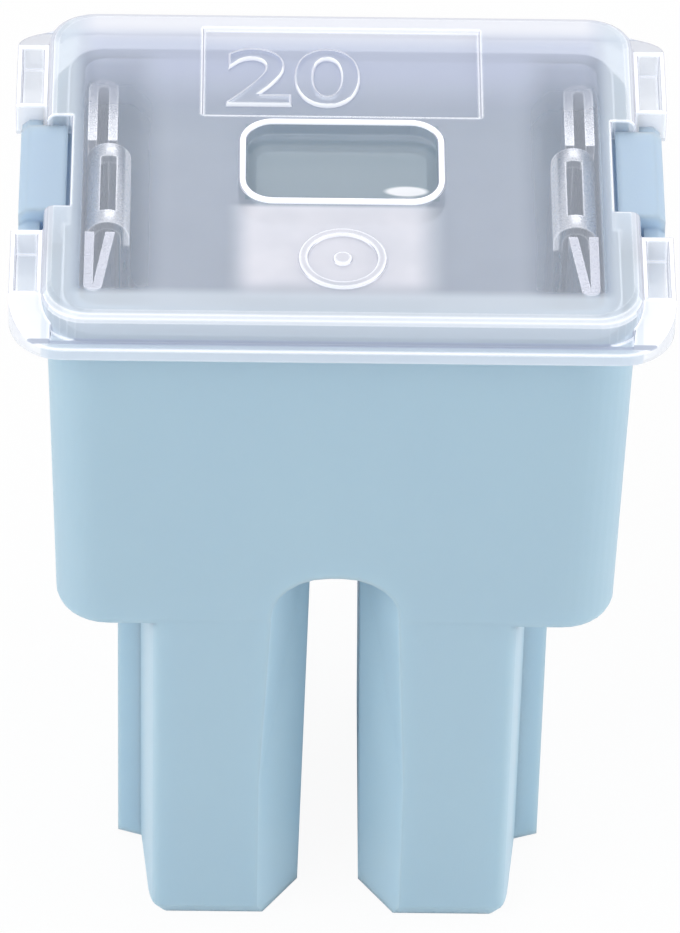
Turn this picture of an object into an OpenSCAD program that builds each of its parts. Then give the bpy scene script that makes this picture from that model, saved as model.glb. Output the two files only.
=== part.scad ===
// Two-legged female cartridge fuse: a moulded housing on two socket legs, a clear snap-on cover with a
// viewing window, and one stamped element with a receptacle in each leg and a fusible bridge between them.
// Origin: centre of the leg tips, +X to the right, +Y to the back, +Z up. Millimetres.

/* [Housing body] */
// Width across the side walls at the shoulder under the cover
body_w = 13.65; // [13.3:0.05:15]
// Depth across the front and back walls at the shoulder
body_d = 10.2; // [10:0.05:12]
// Height of the body from its underside to the shoulder
body_h = 9.4; // [9:0.05:11]
// How much narrower the underside is than the shoulder
body_draft_w = 0.35; // [0:0.05:0.5]
// How much shallower the underside is than the shoulder
body_draft_d = 0.5; // [0:0.05:0.6]
// Radius of the upright corners
body_corner_r = 1.2; // [0.8:0.05:1.5]
// Rounding of the underside's edges
edge_round = 0.3; // [0.1:0.05:0.5]
// Thickness of the body's walls at the shoulder
body_wall = 0.75; // [0.65:0.05:0.8]
// Thickness of the chamber's floor
floor_t = 1.1; // [0.8:0.05:1.4]
// Height of the lip that the cover seats round
lip_h = 0.55; // [0.4:0.05:0.6]
// Thickness of that lip
lip_t = 0.35; // [0.3:0.05:0.4]

/* [Legs] */
// Free length of the legs
leg_h = 10.2; // [9.8:0.1:12]
// Distance across both legs' outer faces
leg_span = 9.32; // [9.2:0.02:9.6]
// How much shallower the legs are at their tips than at their roots
leg_draft = 0.5; // [0:0.05:0.6]
// Thickness of the legs' front and back walls at the tips
leg_wall = 0.8; // [0.7:0.05:0.85]
// Width taken off each outer corner
leg_corner_x = 0.28; // [0.1:0.02:0.4]
// Depth taken off each outer corner
leg_corner_y = 1.07; // [0.4:0.01:1.3]
// How far the outer face leans in towards its corners
leg_flank = 0.19; // [0.05:0.01:0.25]
// Bevel round the tips
tip_bevel = 0.2; // [0.1:0.02:0.25]
// Width of the slot between the legs at their tips
slot_w_tip = 1.54; // [1.3:0.02:1.6]
// Width of the slot at its arch
slot_w_root = 1.16; // [0.9:0.02:1.2]
// How far the arch rises above the body's underside
slot_rise = 1.75; // [1:0.05:1.9]
// Corner radius of the arch
slot_arch_r = 0.42; // [0.2:0.02:0.44]
// Width of the bevel along the slot's front and back edges
slot_bevel_w = 1; // [0.6:0.01:1.1]
// Depth of that bevel
slot_bevel_d = 1.35; // [0.6:0.01:1.5]
// How far the guide ribs stand out from the legs
rib_out = 0.56; // [0.3:0.02:0.8]
// Width of the guide ribs at their faces
rib_w = 3.52; // [2.5:0.02:4]
// Height of the guide ribs' lower ends above the tips
rib_lift = 0.15; // [0.05:0.01:0.5]

/* [Sockets] */
// Distance between the planes of the two mating tabs
tab_pitch = 5.4; // [5.3:0.02:5.5]
// Thickness of a mating tab
tab_t = 0.8; // [0.6:0.02:0.8]
// Room round the tab in the leg's mouth
mouth_gap = 0.25; // [0.15:0.01:0.3]
// Thickness of the plastic round the mouth
mouth_t = 1; // [0.6:0.05:1.2]
// Lead-in bevel of the mouth
mouth_lead = 0.4; // [0.2:0.02:0.5]
// Room between a receptacle's spring and the hollow's side walls
hollow_gap = 0.25; // [0.1:0.01:0.3]
// Room between a receptacle's spring and the hollow's ends
hollow_end = 0.11; // [0.05:0.01:0.2]

/* [Side lugs] */
// How far each lug stands out from the shoulder
lug_out = 0.7; // [0.4:0.02:0.74]
// Width of a lug's crown in the cover's notch
lug_w = 3; // [2:0.05:3.4]
// Step of the lug's base beyond its crown, each side
lug_step = 0.6; // [0.3:0.05:0.8]
// Height of the crown above the shoulder
lug_crown_h = 0.9; // [0.7:0.02:1]
// Length of the lug below the shoulder
lug_drop = 2.1; // [1.5:0.05:3]

/* [Cover] */
// Thickness of the cover's top
cover_t = 0.6; // [0.5:0.02:0.8]
// How far the cover's top reaches past the side walls
cover_over_w = 0.1; // [0:0.01:0.2]
// How far the cover's top reaches past the front and back walls
cover_over_d = 0.32; // [0:0.01:0.4]
// Corner radius of the cover's top
cover_corner_r = 1; // [0.6:0.05:1.2]
// Rounding of the cover's upper edge
cover_round = 0.22; // [0.1:0.02:0.3]
// How far the flange stands out at the sides
flange_w = 0.75; // [0.74:0.01:1]
// How far the flange stands out at the front and back
flange_d = 0.27; // [0.1:0.01:0.4]
// Thickness of the flange
flange_t = 0.35; // [0.2:0.01:0.45]
// Height of the raised ears on the flange's ends
ear_h = 0.9; // [0.6:0.02:1]
// Length of an ear from the notch to its slope
ear_l = 2.2; // [1.8:0.05:2.4]
// Wall left round an ear's pocket
ear_wall = 0.12; // [0.1:0.01:0.16]
// Room between the cover and the housing
fit_gap = 0.05; // [0.03:0.01:0.08]
// Room round a lug's crown in the cover's notch
notch_gap = 0.1; // [0.05:0.01:0.15]

/* [Cover details] */
// Length of the viewing window
window_l = 4.8; // [4:0.05:5.2]
// Width of the viewing window
window_w = 2.96; // [2.4:0.02:3]
// Corner radius of the window
window_r = 0.8; // [0.5:0.02:1]
// Depth of the window's recess
window_sink = 0.28; // [0.15:0.01:0.35]
// Width of the window's rim
window_rim = 0.16; // [0.1:0.01:0.2]
// Height of the window's raised rim
rim_rise = 0.08; // [0.05:0.01:0.12]
// Wall of the shroud under the window
shroud_t = 0.4; // [0.3:0.02:0.5]
// Height of the shroud under the window
shroud_h = 2.5; // [1.5:0.05:2.6]
// Width of the sunk panel for the rating
panel_w = 6.55; // [5:0.05:7]
// Distance from the cover's centre to the panel's front edge
panel_y = 1.68; // [1.6:0.02:2]
// Depth of the sunk panel
panel_sink = 0.1; // [0.05:0.01:0.15]
// Margin between the panel and the cover's back edge
panel_margin = 0.6; // [0.5:0.05:0.9]
// Outer diameter of the gate ring
ring_d = 2.05; // [1.5:0.05:2.2]
// Width of the ring
ring_w = 0.22; // [0.15:0.01:0.3]
// Height of the ring
ring_h = 0.08; // [0.05:0.01:0.12]
// Distance from the cover's centre to the ring's centre
ring_y = 3.4; // [3:0.05:3.5]

/* [Fuse element] */
// Thickness of the strip
strip_t = 0.22; // [0.18:0.01:0.24]
// Room between the element and the side walls
seat_gap = 0.1; // [0.05:0.01:0.15]
// Room between the upright plates' edges and the front and back walls
plate_gap = 0.55; // [0.3:0.05:0.6]
// Depth of the curled edges at the plates' upper ends
curl_d = 0.7; // [0.6:0.01:0.76]
// Room between the plates' upper ends and the cover
head_gap = 0.2; // [0.15:0.01:0.4]
// Width of the tongue folded over between the curls
tongue_w = 2.8; // [2:0.05:3]
// Depth of the tongue's fold
tongue_d = 1.03; // [0.9:0.01:1.1]
// Height of the bridge's roots above the chamber's floor
bridge_z = 4.1; // [3.6:0.05:4.4]
// Rise of the bridge's arch
bridge_rise = 1.4; // [1:0.05:1.6]
// Width of the bridge
bridge_w = 1.2; // [0.9:0.02:1.3]
// Half length of the bridge's flat crest
crest_l = 1; // [0.9:0.05:1.2]
// Radius of the necks cut into the bridge
neck_r = 0.38; // [0.2:0.01:0.42]
// Room for the tab between the receptacle's two walls
grip_gap = 1; // [0.95:0.01:1.05]
// Room between the tab's edges and the receptacle's sides
grip_side = 0.08; // [0.05:0.01:0.1]
// Bend radius of the receptacle's corners
grip_r = 0.5; // [0.4:0.02:0.6]
// Length of the receptacle
grip_h = 8.6; // [7.5:0.1:9]
// How far the contact beams bow towards the tab
bow = 0.22; // [0.1:0.01:0.26]
// Gap between the two contact beams
beam_gap = 1.4; // [1:0.05:2]

/* [Bead and springs] */
// Radius of the low-melting bead
bead_r = 0.5; // [0.4:0.01:0.55]
// Depth of the bead's flat below its axis
bead_seat = 0.4; // [0.3:0.01:0.4]
// Length of the bead
bead_l = 1.2; // [0.8:0.02:1.4]
// Width of the claws that hold the bead
claw_w = 0.6; // [0.4:0.02:0.7]
// Room between the bead and its claws
claw_gap = 0.02; // [0.01:0.01:0.04]
// Thickness of the springs' strip
spring_t = 0.18; // [0.14:0.01:0.2]
// Room between a spring and the receptacle
spring_gap = 0.04; // [0.03:0.01:0.05]
// Height of the springs
spring_h = 4.6; // [3.5:0.1:5.5]

/* [Hidden] */
$fn = 48;
HULL_FN = 32;      // facets of a circle inside a hull
SLICE = 0.01;      // thickness of a slice that a hull joins
CUT = 1;           // how far a cutter runs past the face it cuts
ARC_STEP = 15;     // degrees between the points of a rounded outline

HOUSING_BLUE = [0.66, 0.77, 0.84];
CLEAR = [0.93, 0.95, 0.99, 0.4];
TINNED = [0.8, 0.8, 0.82];
TIN = [0.88, 0.88, 0.86];
SPRING_STEEL = [0.6, 0.6, 0.62];

shoulder_z = leg_h + body_h;
floor_z = leg_h + floor_t;
rim_z = shoulder_z + lip_h;
top_z = rim_z + cover_t;
slot_top = leg_h + slot_rise;
hump_z = slot_top + floor_t * 0.75;
hump_w = slot_w_root + 2 * body_wall;
chamber_w = body_w - 2 * body_wall;
chamber_d = body_d - 2 * body_wall;
leg_axis = tab_pitch / 2;
leg_root_d = body_d - body_draft_d;
leg_d = leg_root_d - leg_draft;
plate_w = chamber_d - 2 * plate_gap;
grip_d = grip_gap + 2 * strip_t;
spring_out = spring_gap + spring_t;
hollow_w = grip_d + 2 * (spring_out + hollow_gap);
hollow_d = leg_d - 2 * leg_wall;
grip_w = hollow_d - 2 * (spring_out + hollow_end);
tab_w = grip_w - 2 * (strip_t + grip_side);

// Rectangle with rounded corners, centred on the origin
module round_rect(w, d, r) {
    square([w, d - 2 * r], center = true);
    square([w - 2 * r, d], center = true);
    for (x = [-1, 1], y = [-1, 1])
        translate([x * (w / 2 - r), y * (d / 2 - r)]) circle(r);
}

// Slab with rounded upright corners, its underside at height z
module slab(w, d, r, z, h) {
    translate([0, 0, z]) linear_extrude(h) round_rect(w, d, r);
}

// Extrudes a profile drawn in X and Z along Y, centred on Y = 0
module along_y(width) {
    rotate([90, 0, 0]) translate([0, 0, -width / 2]) linear_extrude(width) children();
}

// Block between two X values, centred in Y, from height z
module plate(x0, x1, width, z, h) {
    translate([x0, -width / 2, z]) cube([x1 - x0, width, h]);
}

// Both sides: the child and its mirror image
module both_sides() {
    children();
    mirror([1, 0, 0]) children();
}

// ---------------------------------------------------------------- housing

// Drafted outer form of the body, rounded along its underside
module body_block() {
    low_w = body_w - body_draft_w;
    low_d = body_d - body_draft_d;
    hull() {
        for (a = [0 : 30 : 90])
            slab(low_w - 2 * edge_round * (1 - sin(a)), low_d - 2 * edge_round * (1 - sin(a)),
                 body_corner_r, leg_h + edge_round * (1 - cos(a)), SLICE, $fn = HULL_FN);
        slab(body_w, body_d, body_corner_r, shoulder_z - SLICE, SLICE, $fn = HULL_FN);
    }
}

// One quarter of the legs' outline: a soft corner, then a flank that leans out to the full span
function leg_quarter(half_w, half_d) = concat(
    [for (a = [0 : ARC_STEP : 90])
        [half_w - leg_flank - leg_corner_x * (1 - sin(a)), half_d - leg_corner_y * (1 - cos(a))]],
    [[half_w, half_d - 2.5 * leg_corner_y]]);

// Outline of both legs together, inset by the given amount
module leg_outline(depth, inset) {
    quarter = leg_quarter(leg_span / 2 - inset, depth / 2 - inset);
    back = [for (i = [0 : len(quarter) - 1]) quarter[len(quarter) - 1 - i]];
    polygon(concat(
        quarter,
        [for (p = back) [p[0], -p[1]]],
        [for (p = quarter) [-p[0], -p[1]]],
        [for (p = back) [-p[0], p[1]]]));
}

// Both legs as one drafted block, bevelled round the tips
module leg_block() {
    hull() {
        linear_extrude(SLICE) leg_outline(leg_d, tip_bevel);
        translate([0, 0, 2 * tip_bevel]) linear_extrude(SLICE) leg_outline(leg_d, 0);
        translate([0, 0, leg_h + floor_t]) linear_extrude(SLICE) leg_outline(leg_root_d, 0);
    }
}

// Guide rib down a leg's outer face
module guide_rib() {
    face_x = leg_span / 2 + rib_out;
    root_x = leg_span / 2 - rib_out;
    translate([0, 0, rib_lift]) linear_extrude(leg_h - rib_lift + edge_round)
        polygon([[root_x, -rib_w / 2 - rib_out], [leg_span / 2, -rib_w / 2 - rib_out / 3],
                 [face_x, -rib_w / 2], [face_x, rib_w / 2],
                 [leg_span / 2, rib_w / 2 + rib_out / 3], [root_x, rib_w / 2 + rib_out]]);
}

// Profile of the slot between the legs, with an arched end
module slot_profile() {
    half = slot_w_root / 2;
    arch = [for (a = [0 : ARC_STEP : 90])
        [half - slot_arch_r * (1 - cos(a)), slot_top - slot_arch_r * (1 - sin(a))]];
    polygon(concat(
        [[-slot_w_tip / 2, -CUT], [slot_w_tip / 2, -CUT]],
        arch,
        [for (i = [len(arch) - 1 : -1 : 0]) [-arch[i][0], arch[i][1]]]));
}

// Bevel along the slot's front edges, which curves in and runs out at the arch
module slot_bevel() {
    inner_y = leg_d / 2 - slot_bevel_d;
    tip_x = slot_w_tip / 2 + 2 * slot_bevel_w;
    root_x = slot_w_root / 2 + 1.6 * slot_bevel_w;
    end_x = slot_w_root / 2 - slot_arch_r;
    turn = [for (a = [0 : ARC_STEP : 90])
        [end_x + (root_x - end_x) * cos(a), leg_h - edge_round + (slot_rise + edge_round) * sin(a)]];
    hull() {
        translate([0, -inner_y + SLICE / 2, 0]) along_y(SLICE) slot_profile();
        translate([0, -inner_y - 2 * slot_bevel_d, 0]) along_y(SLICE)
            polygon(concat([[-tip_x, -CUT], [tip_x, -CUT]], turn,
                           [for (i = [len(turn) - 1 : -1 : 0]) [-turn[i][0], turn[i][1]]]));
    }
}

// Hollow of one leg, with the bevelled mouth that the tab enters
module socket() {
    mouth = tab_t / 2 + mouth_gap;
    mouth_w = tab_w + 2 * mouth_gap;
    translate([leg_axis, 0, 0]) {
        plate(-hollow_w / 2, hollow_w / 2, hollow_d, mouth_t, floor_z - mouth_t + SLICE);
        along_y(mouth_w)
            polygon([[-mouth - mouth_lead, -SLICE], [mouth + mouth_lead, -SLICE],
                     [mouth, mouth_lead], [mouth, mouth_t + CUT],
                     [-mouth, mouth_t + CUT], [-mouth, mouth_lead]]);
    }
}

// Chamber for the bridge, with a hump over the slot's arch
module chamber() {
    difference() {
        slab(chamber_w, chamber_d, body_corner_r - body_wall, floor_z, rim_z - floor_z + CUT);
        plate(-hump_w / 2, hump_w / 2, chamber_d + CUT, floor_z - CUT, hump_z - floor_z + CUT);
    }
}

// Lug on a side wall: a ramp, a broad base beside the cover and a crown in the cover's notch
module side_lug() {
    out_x = body_w / 2 + lug_out;
    in_x = body_w / 2 - body_wall;
    clear_x = body_w / 2 + cover_over_w + notch_gap;
    base_z = shoulder_z + lip_h;
    crown_z = shoulder_z + lug_crown_h;
    crown_x = in_x + lip_t;
    soft = lug_out / 4;
    along_y(lug_w + 2 * lug_step)
        polygon([[in_x, shoulder_z - lug_drop], [body_w / 2 - body_draft_w / 4, shoulder_z - lug_drop],
                 [out_x, shoulder_z - lug_drop + 1.2 * lug_out], [out_x, base_z - soft],
                 [out_x - soft, base_z], [clear_x, base_z], [clear_x, shoulder_z], [in_x, shoulder_z]]);
    along_y(lug_w)
        polygon([[crown_x - lip_t / 2, shoulder_z - SLICE], [out_x, shoulder_z - SLICE], [out_x, crown_z - soft],
                 [out_x - soft, crown_z], [crown_x, crown_z], [crown_x, rim_z], [crown_x - lip_t / 2, rim_z]]);
}

module housing() {
    lip_w = chamber_w + 2 * lip_t;
    lip_d = chamber_d + 2 * lip_t;
    color(HOUSING_BLUE) difference() {
        union() {
            body_block();
            slab(lip_w, lip_d, body_corner_r - body_wall + lip_t, shoulder_z - CUT, lip_h + CUT);
            leg_block();
            both_sides() guide_rib();
            both_sides() side_lug();
        }
        chamber();
        both_sides() socket();
        along_y(body_d + 2 * CUT) slot_profile();
        slot_bevel();
        mirror([0, 1, 0]) slot_bevel();
    }
}

// ---------------------------------------------------------------- cover

plate_half_w = body_w / 2 + cover_over_w;
plate_half_d = body_d / 2 + cover_over_d;
flange_half_w = plate_half_w + flange_w;
flange_half_d = plate_half_d + flange_d;
notch_half = lug_w / 2 + notch_gap;
gap_half = lug_w / 2 + lug_step + notch_gap;

// Top and skirt in one, with a rounded upper edge
module cover_block() {
    w = 2 * plate_half_w;
    d = 2 * plate_half_d;
    hull() {
        slab(w, d, cover_corner_r, shoulder_z, SLICE, $fn = HULL_FN);
        for (a = [0 : 30 : 90]) {
            inset = cover_round * (1 - cos(a));
            slab(w - 2 * inset, d - 2 * inset, cover_corner_r,
                 top_z - cover_round * (1 - sin(a)) - SLICE, SLICE, $fn = HULL_FN);
        }
    }
}

// Raised ear on the flange beside the notch, sloping down to the corner
module ear() {
    intersection() {
        slab(2 * flange_half_w, 2 * flange_half_d, cover_corner_r + flange_d, shoulder_z, ear_h);
        translate([plate_half_w - cover_round, 0, 0]) rotate([90, 0, 90]) linear_extrude(flange_w + CUT)
            polygon([[gap_half, shoulder_z], [gap_half + ear_l + 2 * ear_h, shoulder_z],
                     [gap_half + ear_l, shoulder_z + ear_h], [gap_half, shoulder_z + ear_h]]);
    }
}

// Open pocket moulded into an ear
module ear_pocket() {
    translate([plate_half_w + ear_wall, gap_half + ear_wall, shoulder_z + flange_t - ear_wall])
        cube([flange_w - 2 * ear_wall, ear_l - 2 * ear_wall, ear_h + CUT]);
}

// Room in the cover for one side lug
module lug_notch() {
    crown_x = body_w / 2 - body_wall + lip_t - notch_gap;
    translate([crown_x, -notch_half, shoulder_z - CUT])
        cube([flange_half_w - crown_x + CUT, 2 * notch_half, top_z - shoulder_z + 2 * CUT]);
    translate([plate_half_w, -gap_half, shoulder_z - CUT])
        cube([flange_w + CUT, 2 * gap_half, top_z - shoulder_z + 2 * CUT]);
}

module cover() {
    lip_w = chamber_w + 2 * lip_t + 2 * fit_gap;
    lip_d = chamber_d + 2 * lip_t + 2 * fit_gap;
    lip_r = body_corner_r - body_wall + lip_t + fit_gap;
    panel_d = plate_half_d - panel_margin - panel_y;
    color(CLEAR) {
        difference() {
            union() {
                difference() {
                    union() {
                        cover_block();
                        slab(2 * flange_half_w, 2 * flange_half_d, cover_corner_r + flange_d,
                             shoulder_z, flange_t);
                        both_sides() for (s = [-1, 1]) scale_y(s) ear();
                    }
                    slab(lip_w, lip_d, lip_r, shoulder_z - CUT, lip_h + CUT);
                }
                slab(window_l, window_w, window_r, rim_z - shroud_h, shroud_h + cover_t + rim_rise);
            }
            slab(window_l - 2 * shroud_t, window_w - 2 * shroud_t, window_r - shroud_t,
                 rim_z - shroud_h - CUT, shroud_h + CUT);
            slab(window_l - 2 * window_rim, window_w - 2 * window_rim, window_r - window_rim,
                 top_z - window_sink, CUT);
            translate([-panel_w / 2, panel_y, top_z - panel_sink]) cube([panel_w, panel_d, CUT]);
            both_sides() lug_notch();
            both_sides() for (s = [-1, 1]) scale_y(s) ear_pocket();
        }
        gate_ring();
    }
}

// Mirrors its child to the front when s is -1
module scale_y(s) {
    mirror([0, s < 0 ? 1 : 0, 0]) children();
}

// Plain ring on the cover's top, with the gate's stub in its middle
module gate_ring() {
    translate([0, -ring_y, top_z - SLICE]) {
        difference() {
            cylinder(h = ring_h + SLICE, d = ring_d);
            translate([0, 0, -CUT]) cylinder(h = ring_h + 2 * CUT, d = ring_d - 2 * ring_w);
        }
        cylinder(h = ring_h + SLICE, d = 2 * ring_w);
    }
}

// ---------------------------------------------------------------- fuse element

plate_x = chamber_w / 2 - seat_gap;
curl_top = rim_z - head_gap;
tongue_x = plate_x - tongue_d;
bridge_low = floor_z + bridge_z;
grip_out = leg_axis + grip_d / 2;
grip_in = leg_axis - grip_d / 2;

// Round bend of the strip in plan, about an upright axis
module bend_z(x, y, r, start, sweep, z, h) {
    translate([x, y, z]) rotate([0, 0, start]) rotate_extrude(angle = sweep)
        translate([r - strip_t, 0]) square([strip_t, h]);
}

// Round bend of the strip about an axis along Y, of the given width
module bend_y(x, z, r, start, sweep, width) {
    translate([x, width / 2, z]) rotate([90, 0, 0]) rotate([0, 0, start]) rotate_extrude(angle = sweep)
        translate([r - strip_t, 0]) square([strip_t, width]);
}

// Upright plate in the chamber, curled square at the back and pinched at the front
module upper_plate() {
    curl_z = floor_z + floor_t;
    curl_h = curl_top - curl_z;
    curl_r = curl_d / 2;
    flat = plate_w / 2 - curl_r;
    reach = tongue_w / 2 + strip_t;
    plate(plate_x - strip_t, plate_x, 2 * flat, floor_z, curl_top - floor_z - tongue_d / 2);
    for (s = [-1, 1])
        translate([plate_x - strip_t, s > 0 ? reach : -flat, curl_top - tongue_d / 2 - SLICE])
            cube([strip_t, flat - reach, tongue_d / 2 + SLICE]);
    bend_z(plate_x - curl_r, flat, curl_r, 0, 180, curl_z, curl_h);
    translate([plate_x - curl_d, reach, curl_z]) cube([strip_t, flat - reach, curl_h]);
    bend_z(plate_x - strip_t, -flat, strip_t, 180, 180, curl_z, curl_h);
    translate([0, 0, curl_z]) linear_extrude(curl_h)
        polygon([[plate_x - 2 * strip_t, -flat], [plate_x - strip_t, -flat],
                 [plate_x - curl_d + strip_t, -reach], [plate_x - curl_d, -reach]]);
}

// Tongue folded over the plate's upper edge and down to the bridge's root
module tongue() {
    fold_r = tongue_d / 2;
    fold_z = curl_top - fold_r + strip_t / 2;
    turn_r = 2 * strip_t;
    difference() {
        union() {
            plate(plate_x - strip_t, plate_x, tongue_w, fold_z - tongue_d, tongue_d);
            bend_y(plate_x - fold_r, fold_z, fold_r, 0, 180, tongue_w);
        }
        plate(tongue_x + 1.5 * strip_t, plate_x - 1.5 * strip_t, tongue_w - 4 * strip_t, fold_z, fold_r + CUT);
    }
    plate(tongue_x, tongue_x + strip_t, tongue_w, bridge_low + turn_r, fold_z - bridge_low - turn_r);
    bend_y(tongue_x + strip_t - turn_r, bridge_low + turn_r, turn_r, 270, 90, tongue_w);
}

// Height of the bridge's underside above its roots, at distance x from the middle
function bridge_height(x, run) =
    abs(x) <= crest_l ? bridge_rise
    : abs(x) >= run ? 0
    : bridge_rise * (1 + cos(180 * (abs(x) - crest_l) / (run - crest_l))) / 2;

// Arched bridge between the two tongues, necked on both sides of its crest
module bridge() {
    root = tongue_x - strip_t;
    run = root - 1.6;
    steps = 40;
    xs = [for (i = [0 : steps]) -run + 2 * run * i / steps];
    difference() {
        union() {
            translate([0, 0, bridge_low]) along_y(bridge_w)
                polygon(concat([for (x = xs) [x, bridge_height(x, run)]],
                               [for (i = [steps : -1 : 0]) [xs[i], bridge_height(xs[i], run) + strip_t]]));
            both_sides() translate([0, 0, bridge_low]) linear_extrude(strip_t)
                polygon([[run - SLICE, -bridge_w / 2], [run - SLICE, bridge_w / 2],
                         [root - 0.5, tongue_w / 2], [root + SLICE, tongue_w / 2],
                         [root + SLICE, -tongue_w / 2], [root - 0.5, -tongue_w / 2]]);
        }
        for (x = [-1, 1], y = [-1, 1])
            translate([x * (crest_l + neck_r), y * bridge_w / 2, bridge_low]) cylinder(h = 2 * bridge_rise, r = neck_r);
    }
    for (s = [-1, 1]) scale_y(s) claw();
}

// Claw curled round the back of the bead
module claw() {
    outer = bead_r + claw_gap + strip_t;
    low = -asin((bead_seat + strip_t / 2) / outer);
    translate([-claw_w / 2, 0, bridge_low + bridge_rise + strip_t + bead_seat])
        rotate([90, 0, 90]) rotate([0, 0, low]) rotate_extrude(angle = 50 - low)
            translate([outer - strip_t, 0]) square([strip_t, claw_w]);
}

// Box of strip round a tab, open towards the middle of the fuse by the given gap
module channel(d, w, r, t, gap, z, h) {
    translate([leg_axis, 0, z]) linear_extrude(h) difference() {
        round_rect(d, w, r);
        round_rect(d - 2 * t, w - 2 * t, r - t);
        translate([-d, -gap / 2]) square([d, gap]);
    }
}

// Shelf on the chamber's floor and the receptacle that hangs from it into the leg
module receptacle() {
    flat = grip_w / 2 - grip_r;
    low_z = floor_z - grip_h - strip_t;
    plate(grip_out - strip_t, plate_x, 2 * flat, floor_z, strip_t);
    plate(grip_out - strip_t, grip_out, 2 * flat, floor_z - 2 * strip_t, 3 * strip_t);
    channel(grip_d, grip_w, grip_r, strip_t, 2 * flat - SLICE, low_z, grip_h);
    for (s = [-1, 1])
        scale_y(s) translate([0, flat, 0]) rotate([90, 0, 0]) linear_extrude(flat - beam_gap / 2)
            beam_profile(low_z);
}

// Contact beam seen from the front, bowed towards the tab
module beam_profile(low_z) {
    steps = 16;
    zs = [for (i = [0 : steps]) i / steps];
    polygon(concat([for (k = zs) [grip_in + bow * sin(180 * k), low_z + grip_h * k]],
                   [for (i = [steps : -1 : 0])
                       [grip_in + strip_t + bow * sin(180 * zs[i]), low_z + grip_h * zs[i]]]));
}

module fuse_element() {
    color(TINNED) {
        both_sides() {
            upper_plate();
            tongue();
            receptacle();
        }
        bridge();
    }
}

// ---------------------------------------------------------------- bead and springs

module tin_bead() {
    axis_z = bridge_low + bridge_rise + strip_t + bead_seat;
    color(TIN) translate([-bead_l / 2, 0, axis_z]) rotate([90, 0, 90])
        linear_extrude(bead_l) difference() {
            circle(bead_r);
            translate([0, -bead_seat - CUT]) square([4 * bead_r, 2 * CUT], center = true);
        }
}

// Spring clip that backs the contact beams of one receptacle
module contact_spring() {
    low_z = floor_z - strip_t - grip_h / 2 - spring_h / 2;
    color(SPRING_STEEL)
        channel(grip_d + 2 * spring_out, grip_w + 2 * spring_out, grip_r + spring_out, spring_t,
                beam_gap, low_z, spring_h);
}

module contact_spring_left() {
    mirror([1, 0, 0]) contact_spring();
}

module contact_spring_right() {
    contact_spring();
}

housing();
cover();
fuse_element();
tin_bead();
contact_spring_left();
contact_spring_right();
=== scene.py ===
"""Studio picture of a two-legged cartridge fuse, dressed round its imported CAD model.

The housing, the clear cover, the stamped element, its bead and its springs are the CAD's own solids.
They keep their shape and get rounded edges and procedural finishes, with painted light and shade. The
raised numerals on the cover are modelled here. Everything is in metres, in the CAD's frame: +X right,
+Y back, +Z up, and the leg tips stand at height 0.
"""

import logging
import math
from dataclasses import dataclass
from enum import Enum, auto
from typing import Any, Union

import bpy
from mathutils import Matrix, Vector


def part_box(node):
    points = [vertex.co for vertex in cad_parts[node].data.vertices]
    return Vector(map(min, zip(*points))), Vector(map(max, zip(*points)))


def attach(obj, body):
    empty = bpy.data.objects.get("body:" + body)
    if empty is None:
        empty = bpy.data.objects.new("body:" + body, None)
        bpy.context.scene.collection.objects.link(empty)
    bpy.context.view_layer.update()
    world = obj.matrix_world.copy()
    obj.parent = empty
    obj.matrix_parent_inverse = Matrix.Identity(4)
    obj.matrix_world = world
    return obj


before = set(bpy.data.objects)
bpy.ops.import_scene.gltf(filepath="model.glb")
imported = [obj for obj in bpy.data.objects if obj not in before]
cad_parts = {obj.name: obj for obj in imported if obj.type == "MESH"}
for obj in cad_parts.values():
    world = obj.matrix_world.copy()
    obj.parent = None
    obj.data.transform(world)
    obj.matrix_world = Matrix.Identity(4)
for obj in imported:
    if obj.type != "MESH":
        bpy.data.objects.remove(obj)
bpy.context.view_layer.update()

LOG = logging.getLogger("cartridge_fuse")
MM = 0.001
ROOT = "root"
MERGE_DISTANCE = 0.001 * MM
EDGE_SAMPLES = 4  # rays of the nodes that look for edges and creases
PLASTIC_IOR = 1.5
RIM_RISE = 0.08 * MM  # how far the window's rim stands above the cover's top

Triple = tuple[float, float, float]
Colour = tuple[float, float, float]
Limits = tuple[float, float]
Amount = Union["Signal", float]

BLACK: Colour = (0.0, 0.0, 0.0)
WHITE: Colour = (1.0, 1.0, 1.0)


class Node(Enum):
    """CAD nodes of the fuse."""

    HOUSING = "housing"
    COVER = "cover"
    ELEMENT = "fuse_element"
    BEAD = "tin_bead"
    LEFT_SPRING = "contact_spring_left"
    RIGHT_SPRING = "contact_spring_right"


# ---------------------------------------------------------------------------------- shader maths


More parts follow.
